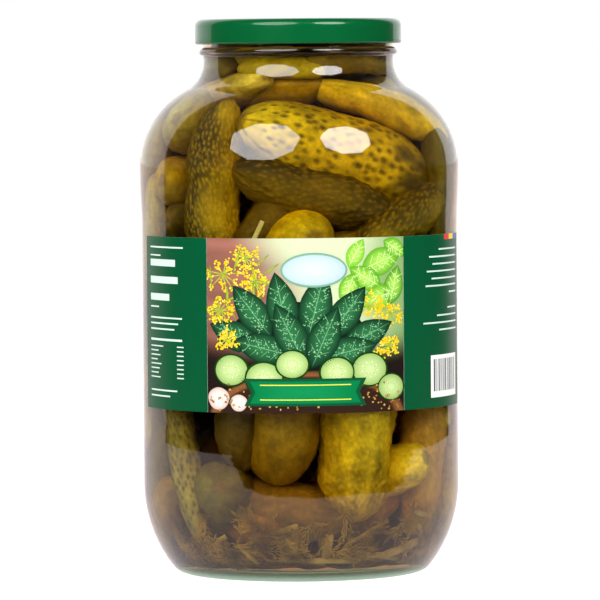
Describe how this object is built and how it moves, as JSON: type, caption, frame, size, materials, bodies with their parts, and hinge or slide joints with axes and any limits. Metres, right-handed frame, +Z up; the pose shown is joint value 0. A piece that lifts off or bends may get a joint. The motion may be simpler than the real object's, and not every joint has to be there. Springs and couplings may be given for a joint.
{
  "type": "pickle jar",
  "caption": "Large sealed glass jar of whole pickled cucumbers in brine with dill, with a green twist-off steel lid and a wrap-round paper label.",
  "frame": {"origin": "centre of the plane that the jar stands on", "axes": "+Z up along the jar's axis, -Y out of the front of the label"},
  "size_m": [0.16, 0.16, 0.2778],
  "materials": {
    "clear_glass": "smooth clear container glass with a faint green tint",
    "green_lacquered_steel": "glossy green lacquer on tinplate",
    "printed_paper": "satin coated paper, deep green sides and a picture in the middle",
    "brine_with_pickles": "clear yellowish brine with olive-green pickled cucumbers in it"
  },
  "bodies": {
    "root": {"glass_jar": "clear_glass", "lid": "green_lacquered_steel", "label": "printed_paper", "brine": "brine_with_pickles"}
  },
  "joints": []
}
